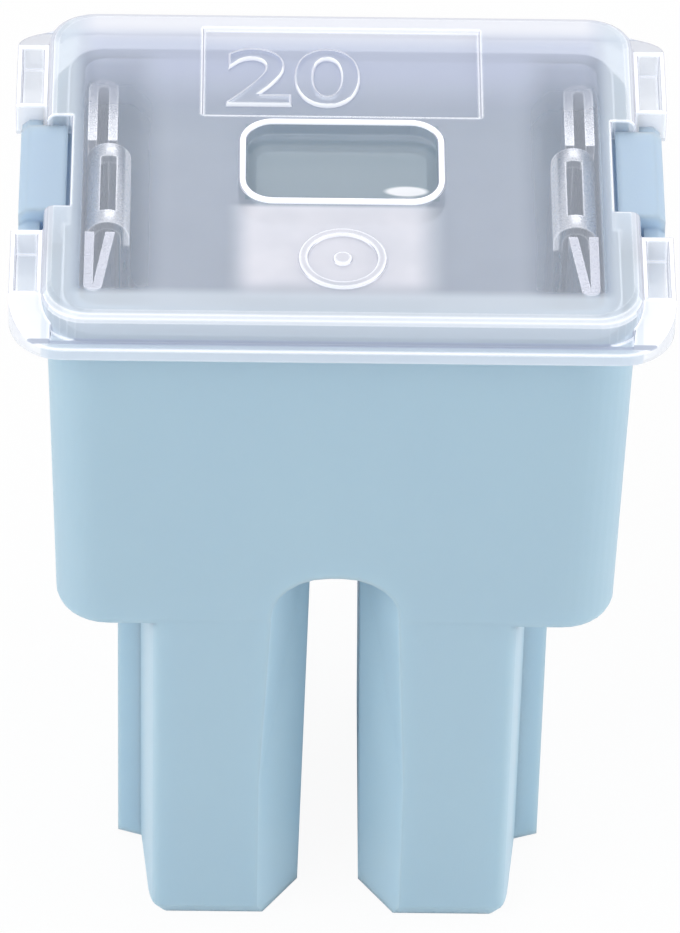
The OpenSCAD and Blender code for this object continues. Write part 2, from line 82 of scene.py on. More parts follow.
@dataclass(frozen=True)
class Signal:
    """A number on a shader socket, which adds Math nodes as Python works with it."""

    sheet: "NodeSheet"
    socket: bpy.types.NodeSocket

    def _math(self, operation: str, first: Amount, second: Amount) -> "Signal":
        """Adds one Math node.

        Args:
            operation: Blender's name of the operation.
            first: number or signal on the first input.
            second: number or signal on the second input.

        Returns:
            The node's result.
        """
        return self.sheet.signal("ShaderNodeMath", {"operation": operation}, {0: first, 1: second})

    def __add__(self, other: Amount) -> "Signal":
        """Sum."""
        return self._math("ADD", self, other)

    def __radd__(self, other: float) -> "Signal":
        """Sum, with the number first."""
        return self._math("ADD", other, self)

    def __sub__(self, other: Amount) -> "Signal":
        """Difference."""
        return self._math("SUBTRACT", self, other)

    def __rsub__(self, other: float) -> "Signal":
        """Difference, with the number first."""
        return self._math("SUBTRACT", other, self)

    def __mul__(self, other: Amount) -> "Signal":
        """Product."""
        return self._math("MULTIPLY", self, other)

    def __rmul__(self, other: float) -> "Signal":
        """Product, with the number first."""
        return self._math("MULTIPLY", other, self)

    def absolute(self) -> "Signal":
        """Size of this signal, without its sign."""
        return self._math("ABSOLUTE", self, 0.0)

    def ramp(self, start: float, end: float) -> "Signal":
        """Rises smoothly from 0 where this signal is start to 1 where it is end."""
        settings = {"interpolation_type": "SMOOTHSTEP"}
        inputs = {"Value": self, "From Min": start, "From Max": end}
        return self.sheet.signal("ShaderNodeMapRange", settings, inputs)

    def swing(self, middle: float, width: float) -> "Signal":
        """Value that this noise moves by half the width to either side of the middle."""
        return middle + width * (self - 0.5)


class NodeSheet:
    """The node tree of one material or world."""

    def __init__(self, tree: bpy.types.NodeTree) -> None:
        """Starts from an empty tree."""
        self.tree = tree
        tree.nodes.clear()

    def node(self, kind: str, settings: dict[str, Any], inputs: dict[Any, Any]) -> bpy.types.Node:
        """Adds a node.

        Args:
            kind: Blender's type of node.
            settings: properties, set before the inputs.
            inputs: value, colour, socket or signal for each input, by name or number.

        Returns:
            The new node.
        """
        made = self.tree.nodes.new(kind)
        for name, value in settings.items():
            setattr(made, name, value)
        for key, value in inputs.items():
            source = value.socket if isinstance(value, Signal) else value
            if isinstance(source, bpy.types.NodeSocket):
                self.tree.links.new(source, made.inputs[key])
            else:
                made.inputs[key].default_value = source
        return made

    def signal(self, kind: str, settings: dict[str, Any], inputs: dict[Any, Any],
               output: Union[str, int] = 0) -> Signal:
        """Adds a node and gives one of its outputs.

        Args:
            kind: Blender's type of node.
            settings: properties, set before the inputs.
            inputs: what goes on each input.
            output: name or number of the output.

        Returns:
            The output as a signal.
        """
        return Signal(self, self.node(kind, settings, inputs).outputs[output])

    def place(self) -> Signal:
        """Object coordinates, in metres."""
        return self.signal("ShaderNodeTexCoord", {}, {}, "Object")

    def normal(self) -> Signal:
        """The surface's direction, in the piece's own axes."""
        return self.signal("ShaderNodeTexCoord", {}, {}, "Normal")

    def parts(self, vector: Signal) -> tuple[Signal, Signal, Signal]:
        """Splits a vector into its three numbers."""
        first, second, third = self.node("ShaderNodeSeparateXYZ", {}, {0: vector}).outputs
        return Signal(self, first), Signal(self, second), Signal(self, third)

    def noise(self, size: float, detail: float, stretch: Triple = (1.0, 1.0, 1.0)) -> Signal:
        """Soft noise over the piece.

        Args:
            size: width of a blotch in metres.
            detail: octaves.
            stretch: factor on the pattern's frequency along each axis.

        Returns:
            The noise, about 0.5 in the middle.
        """
        mapped = self.signal("ShaderNodeMapping", {}, {"Vector": self.place(), "Scale": stretch})
        inputs = {"Vector": mapped, "Scale": 1.0 / size, "Detail": detail}
        return self.signal("ShaderNodeTexNoise", {}, inputs)

    def blend(self, share: Amount, low: Any, high: Any) -> Signal:
        """Mixes two colours.

        Args:
            share: how much of the second.
            low: colour at 0.
            high: colour at 1.

        Returns:
            The mixed colour.
        """
        made = self.node("ShaderNodeMix", {"data_type": "RGBA"}, {"Factor": share})
        for key, value in ((6, low), (7, high)):
            if isinstance(value, Signal):
                self.tree.links.new(value.socket, made.inputs[key])
            else:
                made.inputs[key].default_value = (*value, 1.0)
        return Signal(self, made.outputs[2])

    def rounded(self, radius: float) -> Signal:
        """Normal averaged over a radius, as if the edges were rounded."""
        return self.signal("ShaderNodeBevel", {"samples": EDGE_SAMPLES}, {"Radius": radius})

    def near_edge(self, radius: float, bend: Limits) -> Signal:
        """Mask of the surface near an edge.

        Args:
            radius: how far from an edge it reaches, in metres.
            bend: cosines of the bend where it starts and where it is full.

        Returns:
            The mask, 0 to 1.
        """
        surface = self.signal("ShaderNodeNewGeometry", {}, {}, "Normal")
        inputs = {0: self.rounded(radius), 1: surface}
        settings = {"operation": "DOT_PRODUCT"}
        bent = self.signal("ShaderNodeVectorMath", settings, inputs, "Value")
        return bent.absolute().ramp(*bend)

    def open_sky(self, reach: float) -> Signal:
        """Share of open sky over the surface, with nothing of its own piece within reach."""
        settings = {"samples": EDGE_SAMPLES, "only_local": True}
        return self.signal("ShaderNodeAmbientOcclusion", settings, {"Distance": reach}, "AO")

    def bump(self, height: Signal, depth: float, strength: float, over: Any = None) -> Signal:
        """Normal bent by a height.

        Args:
            height: the relief, 0 to 1.
            depth: its depth in metres.
            strength: share of the effect.
            over: the normal to bend, if it isn't the surface's own.

        Returns:
            The normal.
        """
        inputs = {"Height": height, "Distance": depth, "Strength": strength}
        if over is not None:
            inputs["Normal"] = over
        return self.signal("ShaderNodeBump", {}, inputs, "Normal")

    def surface(self, shader: bpy.types.Node) -> None:
        """Links a shader to the surface output."""
        self.node("ShaderNodeOutputMaterial", {}, {"Surface": shader.outputs[0]})


def new_sheet(name: str) -> tuple[bpy.types.Material, NodeSheet]:
    """Makes an empty material.

    Args:
        name: its name.

    Returns:
        The material and its node sheet.
    """
    material = bpy.data.materials.new(name)
    material.use_nodes = True
    return material, NodeSheet(material.node_tree)


# ---------------------------------------------------------------------------------- zones


class Axis(Enum):
    """What a fade is measured along."""

    ACROSS = auto()  # to the right
    REACH_X = auto()  # away from the middle, to either side
    ALONG = auto()  # to the back
    REACH_Y = auto()  # away from the middle, to the front or the back
    HEIGHT = auto()
    UP = auto()  # 1 where the surface looks up, -1 where it looks down
    LEVEL = auto()  # 1 where the surface is level, 0 where it stands
    SIDEWAYS = auto()  # 1 where the surface doesn't look to the front or the back


@dataclass(frozen=True)
class Fade:
    """Soft limit of a zone: 0 at its start and 1 at its end."""

    axis: Axis
    start: float
    end: float


Zone = tuple[Fade, ...]


class Spot:
    """A point of a surface, as the masks read it."""

    def __init__(self, sheet: NodeSheet) -> None:
        """Reads the point's place and direction."""
        across, along, height = sheet.parts(sheet.place())
        _, backward, upward = sheet.parts(sheet.normal())
        self.across = across
        self.along = along
        self.values: dict[Axis, Signal] = {
            Axis.ACROSS: across,
            Axis.REACH_X: across.absolute(),
            Axis.ALONG: along,
            Axis.REACH_Y: along.absolute(),
            Axis.HEIGHT: height,
            Axis.UP: upward,
            Axis.LEVEL: upward.absolute(),
            Axis.SIDEWAYS: 1.0 - backward.absolute(),
        }

    def within(self, zone: Zone) -> Signal:
        """Mask of a zone.

        Args:
            zone: its fades.

        Returns:
            The product of the fades.
        """
        first, *others = (self.values[fade.axis].ramp(fade.start, fade.end) for fade in zone)
        mask = first
        for other in others:
            mask = mask * other
        return mask


def either(first: Signal, second: Signal) -> Signal:
    """Mask of what lies in one or both of two masks."""
    return 1.0 - (1.0 - first) * (1.0 - second)


# ---------------------------------------------------------------------------------- finishes, with painted light and shade


@dataclass(frozen=True)
class MouldedPlastic:
    """Opaque satin plastic, with painted light on the lugs, the slot's sides and the legs' corners, and
    painted shade beside the ribs.
    """

    name: str = "light_blue_moulding"
    colour: Colour = (0.405, 0.575, 0.700)
    pale: Colour = (0.425, 0.605, 0.715)
    # painted light: the lugs are the same plastic, painted paler where the light falls on them
    lit_lug_colour: Colour = (0.47, 0.61, 0.765)
    # painted light on the slot's sides between the legs, lighter than their shade would leave them
    lit_slot_colour: Colour = (0.48, 0.665, 0.785)
    # painted highlight along the legs' rounded outer corners
    corner_highlight_colour: Colour = (0.60, 0.745, 0.85)
    # painted shade in the creases beside the ribs, where little open sky reaches
    crease_shade_colour: Colour = (0.17, 0.25, 0.33)
    corner_highlight_share: float = 0.40
    crease_reach: float = 0.8 * MM
    crease_sky: Limits = (0.80, 0.48)
    cloud: float = 3.5 * MM
    cloud_stretch: Triple = (1.0, 1.0, 0.5)
    grain: float = 0.06 * MM
    grain_depth: float = 0.004 * MM
    grain_strength: float = 0.5
    roughness: float = 0.42
    roughness_width: float = 0.08
    glow: float = 0.5
    glow_depth: float = 0.8 * MM
    soft_edge: float = 0.20 * MM
    body_zone: Zone = (
        Fade(Axis.REACH_X, 7.0 * MM, 6.9 * MM),
        Fade(Axis.HEIGHT, 19.65 * MM, 19.6 * MM),
    )
    # where the painted light on the slot's sides lies
    lit_slot_zone: Zone = (
        Fade(Axis.SIDEWAYS, 0.1, 0.5),
        Fade(Axis.REACH_X, 2.0 * MM, 1.9 * MM),
        Fade(Axis.HEIGHT, 12.3 * MM, 12.2 * MM),
    )
    # where the painted highlight on the legs' corners lies
    corner_highlight_zone: Zone = (
        Fade(Axis.SIDEWAYS, 0.40, 0.75),
        Fade(Axis.REACH_X, 3.5 * MM, 4.0 * MM),
        Fade(Axis.REACH_Y, 2.2 * MM, 3.6 * MM),
        Fade(Axis.HEIGHT, 10.5 * MM, 9.9 * MM),
    )
    crease_shade_zone: Zone = (
        Fade(Axis.REACH_X, 3.5 * MM, 4.0 * MM),
        Fade(Axis.HEIGHT, 10.5 * MM, 10.2 * MM),
    )

    def tone(self, sheet: NodeSheet) -> Signal:
        """Base colour, with painted light and shade laid over it.

        Args:
            sheet: the material's sheet.

        Returns:
            The colour, with that of each zone laid over the body's.
        """
        spot = Spot(sheet)
        cloud = sheet.noise(self.cloud, detail=2.0, stretch=self.cloud_stretch)
        # painted highlight on the legs' corners
        corner_highlight = self.corner_highlight_share * spot.within(self.corner_highlight_zone)
        # painted shade beside the ribs, from the open-sky mask
        crease_shade = sheet.open_sky(self.crease_reach).ramp(*self.crease_sky) * spot.within(self.crease_shade_zone)
        # painted light on the lugs
        lit_lug = 1.0 - spot.within(self.body_zone)
        tone = sheet.blend(cloud, self.colour, self.pale)
        # painted light on the slot's sides
        tone = sheet.blend(spot.within(self.lit_slot_zone), tone, self.lit_slot_colour)
        tone = sheet.blend(corner_highlight, tone, self.corner_highlight_colour)
        tone = sheet.blend(crease_shade, tone, self.crease_shade_colour)
        return sheet.blend(lit_lug, tone, self.lit_lug_colour)

    def material(self) -> bpy.types.Material:
        """Builds the material.

        Returns:
            The material.
        """
        material, sheet = new_sheet(self.name)
        grain = sheet.noise(self.grain, detail=3.0)
        rounded = sheet.rounded(self.soft_edge)
        sheet.surface(sheet.node("ShaderNodeBsdfPrincipled", {}, {
            "Base Color": self.tone(sheet),
            "Roughness": grain.swing(self.roughness, self.roughness_width),
            "IOR": PLASTIC_IOR,
            "Subsurface Weight": self.glow,
            "Subsurface Radius": (1.0, 1.0, 1.0),
            "Subsurface Scale": self.glow_depth,
            "Normal": sheet.bump(grain, self.grain_depth, self.grain_strength, rounded),
        }))
        return material


@dataclass(frozen=True)
class ClearPlastic:
    """Clear moulded plastic: see-through flats, and rounded edges where the light collects, shown by painted
    highlights.
    """

    name: str
    flat_haze: float
    colour: Colour = (0.72, 0.79, 0.93)
    haze_width: float = 0.05
    haze_cloud: float = 2.2 * MM
    # painted highlight on the edges: whiter, more opaque, and glowing by edge_glow
    edge_haze: float = 0.95
    edge_colour: Colour = (0.93, 0.95, 1.0)
    edge_glow: float = 0.35
    edge_width: float = 0.07 * MM
    edge_bend: Limits = (0.998, 0.95)
    # painted shade on an edge seen edge-on
    edge_on_shade_colour: Colour = (0.52, 0.53, 0.64)
    turned_facing: Limits = (0.34, 0.54)
    roughness: float = 0.12
    roughness_width: float = 0.06
    roughness_cloud: float = 0.5 * MM
    ripple: float = 1.1 * MM
    ripple_depth: float = 0.010 * MM
    ripple_strength: float = 0.6
    tilted_zone: Zone = (Fade(Axis.LEVEL, 0.99, 0.93),)

    def edges(self, sheet: NodeSheet, spot: Spot) -> Signal:
        """Mask of the painted edge highlight: the edges and all that isn't level."""
        edge = sheet.near_edge(self.edge_width, self.edge_bend)
        return either(spot.within(self.tilted_zone), edge)

    def body(self, sheet: NodeSheet, spot: Spot) -> tuple[Signal, Signal]:
        """Haze and colour of the surface away from its edges.

        Args:
            sheet: the material's sheet.
            spot: the point of the surface.

        Returns:
            The haze, 0 to 1, and the colour.
        """
        cloud = sheet.noise(self.haze_cloud, detail=2.0)
        haze = cloud.swing(self.flat_haze, self.haze_width)
        return haze, sheet.blend(cloud, self.colour, self.edge_colour)

    def material(self) -> bpy.types.Material:
        """Builds the material, with painted edge highlights. An edge that looks away gets painted shade,
        darker than one that is seen from its front.

        Returns:
            The material.
        """
        material, sheet = new_sheet(self.name)
        spot = Spot(sheet)
        cloud = sheet.noise(self.roughness_cloud, detail=2.0)
        ripple = sheet.noise(self.ripple, detail=1.0)
        haze, colour = self.body(sheet, spot)
        edge = self.edges(sheet, spot)
        facing = sheet.signal("ShaderNodeLayerWeight", {}, {"Blend": 0.5}, "Facing")
        # painted shade on edges seen edge-on, painted glowing highlight on the other edges
        edge_on_shade = edge * facing.ramp(*self.turned_facing)
        colour = sheet.blend(edge, colour, self.edge_colour)
        light = edge * self.edge_glow * (1.0 - edge_on_shade)
        sheet.surface(sheet.node("ShaderNodeBsdfPrincipled", {}, {
            "Base Color": sheet.blend(edge_on_shade, colour, self.edge_on_shade_colour),
            "Roughness": cloud.swing(self.roughness, self.roughness_width),
            "IOR": PLASTIC_IOR,
            "Alpha": haze + edge * (self.edge_haze - haze),
            "Emission Color": sheet.blend(light, BLACK, self.edge_colour),
            "Emission Strength": 1.0,
            "Normal": sheet.bump(ripple, self.ripple_depth, self.ripple_strength),
        }))
        return material


@dataclass(frozen=True)
class Layer:
    """Haze and colour of one zone of the cover."""

    haze: float
    colour: Colour


@dataclass(frozen=True)
class CoverPlastic(ClearPlastic):
    """The cover's clear plastic: cloudier over the rim, with a painted reflection that makes it whiter to the
    back, a whiter patch between the gate and the window, painted shade over the lip and at the flange,
    painted light in the ears and a painted glint in the window.
    """

    edge_width: float = 0.11 * MM
    edge_bend: Limits = (0.9985, 0.955)

    # where the cover's forms lie
    top: float = 20.75 * MM
    flange_top: float = 19.95 * MM
    plate_x: float = 6.925 * MM
    plate_y: float = 5.42 * MM
    pane_x: float = 2.24 * MM
    pane_y: float = 1.32 * MM
    pane_front: float = -1.62 * MM
    gate_front: float = -4.8 * MM
    # where the painted glint lies in the window
    glint_centre: tuple[float, float] = (1.50 * MM, -0.68 * MM)
    glint_size: tuple[float, float] = (0.58 * MM, 0.20 * MM)
    glint_edge: Limits = (1.0, 0.45)

    # what is laid over its zones
    wall: Layer = Layer(0.40, (0.79, 0.885, 1.0))
    rim: Layer = Layer(0.62, (0.79, 0.885, 1.0))
    # painted shade: a darker band over the housing's lip towards the back
    lip_shade: Layer = Layer(0.78, (0.54, 0.60, 0.78))
    # painted reflection: the top gets whiter and hazier towards the back, as if mirroring the backdrop
    back: Layer = Layer(0.80, (0.90, 0.92, 1.0))
    # painted light: the ear pockets are made lighter than their shade would leave them
    ear_light: Layer = Layer(0.52, (0.93, 0.96, 1.0))
    pane: Layer = Layer(0.42, (0.52, 0.63, 0.72))
    glint: Layer = Layer(0.95, (0.93, 0.95, 1.0))
    # painted shade: a darker line where the top meets the flange
    crease_shade: Layer = Layer(0.90, (0.52, 0.58, 0.72))
    # a whiter, cloudier patch laid on the top between the gate and the window
    white_patch: Layer = Layer(0.85, (0.86, 0.86, 0.95))
    white_patch_share: float = 0.88
    white_patch_width: float = 0.4
    white_patch_cloud: float = 1.3 * MM
    contact_clear: float = 0.16  # haze that is missing over the contacts
    # contact_lip takes away this share of the painted lip shade over the contacts
    contact_lip: float = 0.6  # share of the lip that is missing there

    # how much painted edge highlight is added or taken away
    slope_edge: float = 0.40
    # painted highlight on the ears
    ear_highlight: float = 0.3
    foot_loss: float = 0.75
    under_loss: float = 0.9
    sunk_loss: float = 0.95

    # the zones
    wall_zone: Zone = (Fade(Axis.LEVEL, 0.7, 0.3),)
    chamber_zone: Zone = (
        Fade(Axis.REACH_X, 6.35 * MM, 6.0 * MM),
        Fade(Axis.REACH_Y, 4.70 * MM, 4.35 * MM),
    )
    lip_shade_zone: Zone = (
        Fade(Axis.REACH_X, 6.5 * MM, 5.7 * MM),
        Fade(Axis.ALONG, 1.9 * MM, 3.6 * MM),
        Fade(Axis.ALONG, 5.4 * MM, 5.3 * MM),
    )
    # where the painted reflection lies
    back_reflection_zone: Zone = (
        Fade(Axis.REACH_X, 6.5 * MM, 5.7 * MM),
        Fade(Axis.ALONG, 4.15 * MM, 5.0 * MM),
        Fade(Axis.ALONG, 5.4 * MM, 5.3 * MM),
    )
    contact_zone: Zone = (
        Fade(Axis.REACH_X, 4.0 * MM, 5.0 * MM),
        Fade(Axis.REACH_X, 6.3 * MM, 5.9 * MM),
        Fade(Axis.ALONG, 4.3 * MM, 3.3 * MM),
    )
    ear_zone: Zone = (Fade(Axis.REACH_X, plate_x - 0.05 * MM, plate_x + 0.02 * MM),)
    pane_zone: Zone = (
        Fade(Axis.REACH_X, pane_x + 0.03 * MM, pane_x + 0.01 * MM),
        Fade(Axis.REACH_Y, pane_y + 0.03 * MM, pane_y + 0.01 * MM),
    )
    # where the painted crease shade lies
    crease_shade_zone: Zone = (
        Fade(Axis.REACH_Y, plate_y - 0.04 * MM, plate_y - 0.02 * MM),
        Fade(Axis.REACH_Y, plate_y + 0.12 * MM, plate_y + 0.06 * MM),
        Fade(Axis.HEIGHT, flange_top - 0.04 * MM, flange_top - 0.02 * MM),
        Fade(Axis.HEIGHT, flange_top + 0.13 * MM, flange_top + 0.07 * MM),
    )
    white_patch_zone: Zone = (
        Fade(Axis.ACROSS, -2.75 * MM, -2.00 * MM),
        Fade(Axis.ACROSS, 2.50 * MM, 1.55 * MM),
        Fade(Axis.ALONG, -4.9 * MM, -4.0 * MM),
        Fade(Axis.ALONG, -1.44 * MM, -1.64 * MM),
        Fade(Axis.HEIGHT, top - 0.06 * MM, top - 0.02 * MM),
    )
    under_zone: Zone = (
        Fade(Axis.REACH_X, 6.5 * MM, 6.2 * MM),
        Fade(Axis.REACH_Y, 5.0 * MM, 4.7 * MM),
        Fade(Axis.HEIGHT, top - 0.33 * MM, top - 0.38 * MM),
    )
    low_zone: Zone = (Fade(Axis.HEIGHT, top + 0.02 * MM, top + 0.005 * MM),)
    near_pane: Zone = (
        Fade(Axis.REACH_X, pane_x + 0.33 * MM, pane_x + 0.31 * MM),
        Fade(Axis.REACH_Y, pane_y + 0.30 * MM, pane_y + 0.28 * MM),
    )
    near_gate: Zone = (
        Fade(Axis.REACH_X, 1.8 * MM, 1.7 * MM),
        Fade(Axis.ALONG, pane_front, pane_front - 0.08 * MM),
        Fade(Axis.ALONG, gate_front, gate_front + 0.1 * MM),
    )
    bead_zone: Zone = (
        Fade(Axis.HEIGHT, top + 0.01 * MM, top + 0.03 * MM),
        Fade(Axis.ALONG, pane_front, pane_front + 0.06 * MM),
    )
    slope_zone: Zone = (
        Fade(Axis.LEVEL, 0.10, 0.30),
        Fade(Axis.LEVEL, 0.99, 0.95),
    )
    foot_zone: Zone = (Fade(Axis.HEIGHT, flange_top - 0.21 * MM, flange_top - 0.27 * MM),)

    def glint_spot(self, spot: Spot) -> Signal:
        """Mask of the painted glint, a small bright spot in the pane's front right corner."""
        (middle_x, middle_y), (size_x, size_y) = self.glint_centre, self.glint_size
        off_x = (spot.across - middle_x) * (1.0 / size_x)
        off_y = (spot.along - middle_y) * (1.0 / size_y)
        return (off_x * off_x + off_y * off_y).ramp(*self.glint_edge) * spot.within(self.pane_zone)

    def edges(self, sheet: NodeSheet, spot: Spot) -> Signal:
        """Mask of the painted highlight near an edge, fainter for the edges under the cover's top.

        Args:
            sheet: the material's sheet.
            spot: the point of the surface.

        Returns:
            The mask, 0 to 1.
        """
        near = either(spot.within(self.near_pane), spot.within(self.near_gate))
        sunk = spot.within(self.low_zone) * near
        # painted highlight on the slopes, on the window's bead and in the ears
        slope = self.slope_edge * spot.within(self.slope_zone)
        lit = either(either(slope, spot.within(self.bead_zone)), self.ear_highlight * spot.within(self.ear_zone))
        bright = either(sheet.near_edge(self.edge_width, self.edge_bend), lit)
        # painted highlight taken away at the foot, under the top, on sunk edges and in the crease
        for loss, mask in ((self.foot_loss, spot.within(self.foot_zone)),
                           (self.under_loss, spot.within(self.under_zone)),
                           (self.sunk_loss, sunk),
                           (1.0, spot.within(self.crease_shade_zone))):
            bright = bright * (1.0 - loss * mask)
        return bright

    def body(self, sheet: NodeSheet, spot: Spot) -> tuple[Signal, Signal]:
        """Haze and colour of the surface away from its edges.

        Args:
            sheet: the material's sheet.
            spot: the point of the surface.

        Returns:
            The haze, 0 to 1, and the colour.
        """
        contacts = spot.within(self.contact_zone)
        # painted shade over the lip, less over the contacts
        lip_shade = spot.within(self.lip_shade_zone) * (1.0 - self.contact_lip * contacts)
        patches = sheet.noise(self.white_patch_cloud, detail=2.0).swing(self.white_patch_share, self.white_patch_width)
        cloud = sheet.noise(self.haze_cloud, detail=2.0)
        haze = cloud.swing(self.flat_haze, self.haze_width) - self.contact_clear * contacts
        colour = self.colour
        for share, layer in ((spot.within(self.wall_zone), self.wall),
                             (1.0 - spot.within(self.chamber_zone), self.rim),
                             (lip_shade, self.lip_shade),
                             # painted reflection towards the back
                             (spot.within(self.back_reflection_zone), self.back),
                             # painted light in the ears
                             (spot.within(self.ear_zone), self.ear_light),
                             (spot.within(self.pane_zone), self.pane),
                             # painted glint
                             (self.glint_spot(spot), self.glint),
                             # painted shade in the crease
                             (spot.within(self.crease_shade_zone), self.crease_shade),
                             # the whiter patch in front of the window
                             (spot.within(self.white_patch_zone) * patches, self.white_patch)):
            haze = haze + share * (layer.haze - haze)
            colour = sheet.blend(share, colour, layer.colour)
        return haze, colour


@dataclass(frozen=True)
class SheetMetal:
    """Metal strip or cast metal with a fine grain."""

    name: str
    colour: Colour
    dull: Colour
    roughness: float
    stretch: Triple = (1.0, 1.0, 1.0)
    cloud: float = 0.9 * MM
    grain: float = 0.05 * MM
    grain_depth: float = 0.0005 * MM
    grain_strength: float = 0.4
    roughness_width: float = 0.08

    def tone(self, sheet: NodeSheet) -> Signal:
        """Base colour, cloudy between the bright and the dull one."""
        return sheet.blend(sheet.noise(self.cloud, detail=3.0), self.colour, self.dull)

    def sockets(self, sheet: NodeSheet) -> dict[str, Any]:
        """What goes on the shader's sockets.

        Args:
            sheet: the material's sheet.

        Returns:
            The values and signals, by the socket's name.
        """
        grain = sheet.noise(self.grain, detail=2.0, stretch=self.stretch)
        return {
            "Base Color": self.tone(sheet),
            "Metallic": 1.0,
            "Roughness": grain.swing(self.roughness, self.roughness_width),
            "Normal": sheet.bump(grain, self.grain_depth, self.grain_strength),
        }

    def material(self) -> bpy.types.Material:
        """Builds the material.

        Returns:
            The material.
        """
        material, sheet = new_sheet(self.name)
        sheet.surface(sheet.node("ShaderNodeBsdfPrincipled", {}, self.sockets(sheet)))
        return material


@dataclass(frozen=True)
class TinnedStrip(SheetMetal):
    """Tinned strip with painted highlights: its cut edges glow, more at the folded tongues' bends and at the
    back.
    """

    # painted highlight: the colour the edges and bends glow with
    light: Colour = (0.95, 0.95, 1.0)
    # painted shade on the cut ends towards the front
    shaded: Colour = (0.50, 0.50, 0.56)
    edge_width: float = 0.06 * MM
    edge_bend: Limits = (0.998, 0.95)
    edge_glow: float = 0.12
    fold_glow: float = 0.35
    bend_glow: float = 0.40
    rear_glow: float = 0.30
    fold_zone: Zone = (
        Fade(Axis.REACH_Y, 1.45 * MM, 1.40 * MM),
        Fade(Axis.HEIGHT, 19.30 * MM, 19.35 * MM),
    )
    bend_zone: Zone = fold_zone + (
        Fade(Axis.REACH_X, 5.115 * MM, 5.045 * MM),
        Fade(Axis.REACH_X, 4.905 * MM, 4.945 * MM),
    )
    rear_zone: Zone = (
        Fade(Axis.ALONG, 1.50 * MM, 1.70 * MM),
        Fade(Axis.HEIGHT, 18.30 * MM, 18.40 * MM),
    )
    front_zone: Zone = (
        Fade(Axis.ALONG, -1.50 * MM, -1.70 * MM),
        Fade(Axis.UP, 0.80, 0.95),
    )

    def tone(self, sheet: NodeSheet) -> Signal:
        """Base colour, with painted shade darkening the cut ends towards the front."""
        return sheet.blend(Spot(sheet).within(self.front_zone), super().tone(sheet), self.shaded)

    def sockets(self, sheet: NodeSheet) -> dict[str, Any]:
        """What goes on the shader's sockets, with painted highlights that glow on the edges and bends.

        Args:
            sheet: the material's sheet.

        Returns:
            The values and signals, by the socket's name.
        """
        spot = Spot(sheet)
        edge = sheet.near_edge(self.edge_width, self.edge_bend)
        fold = self.fold_glow * spot.within(self.fold_zone)
        rear = self.rear_glow * spot.within(self.rear_zone)
        # painted highlight on the edges, the bends and the back
        glow = edge * (self.edge_glow + fold + rear) + self.bend_glow * spot.within(self.bend_zone)
        lit = {"Emission Color": sheet.blend(glow, BLACK, self.light), "Emission Strength": 1.0}
        return {**super().sockets(sheet), **lit}


# ---------------------------------------------------------------------------------- the fuse


@dataclass(frozen=True)
class Rounding:
    """How a CAD node's sharp edges are rounded."""

    width: float
    segments: int = 3
    sharp_from: float = math.radians(35.0)
    flat_within: float = math.radians(0.5)


def dress_node(node: Node, finish: bpy.types.Material, rounding: Rounding) -> bpy.types.Object:
    """Gives a CAD node its finish and rounds its sharp edges with live modifiers.

    Args:
        node: the node.
        finish: its material.
        rounding: how its edges are rounded.

    Returns:
        The node's object.
    """
    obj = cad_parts[node.value]
    obj.data.materials.clear()
    obj.data.materials.append(finish)
    weld = obj.modifiers.new("weld", "WELD")
    weld.merge_threshold = MERGE_DISTANCE
    planar = obj.modifiers.new("planar", "DECIMATE")
    planar.decimate_type = "DISSOLVE"
    planar.angle_limit = rounding.flat_within
    bevel = obj.modifiers.new("rounding", "BEVEL")
    bevel.width = rounding.width
    bevel.segments = rounding.segments
    bevel.limit_method = "ANGLE"
    bevel.angle_limit = rounding.sharp_from
    return obj


@dataclass
class Housing:
    """Light blue moulding."""

    rounding: Rounding = Rounding(0.10 * MM)
    finish: MouldedPlastic = MouldedPlastic()

    def build(self) -> list[bpy.types.Object]:
        """Dresses the CAD node."""
        return [dress_node(Node.HOUSING, self.finish.material(), self.rounding)]


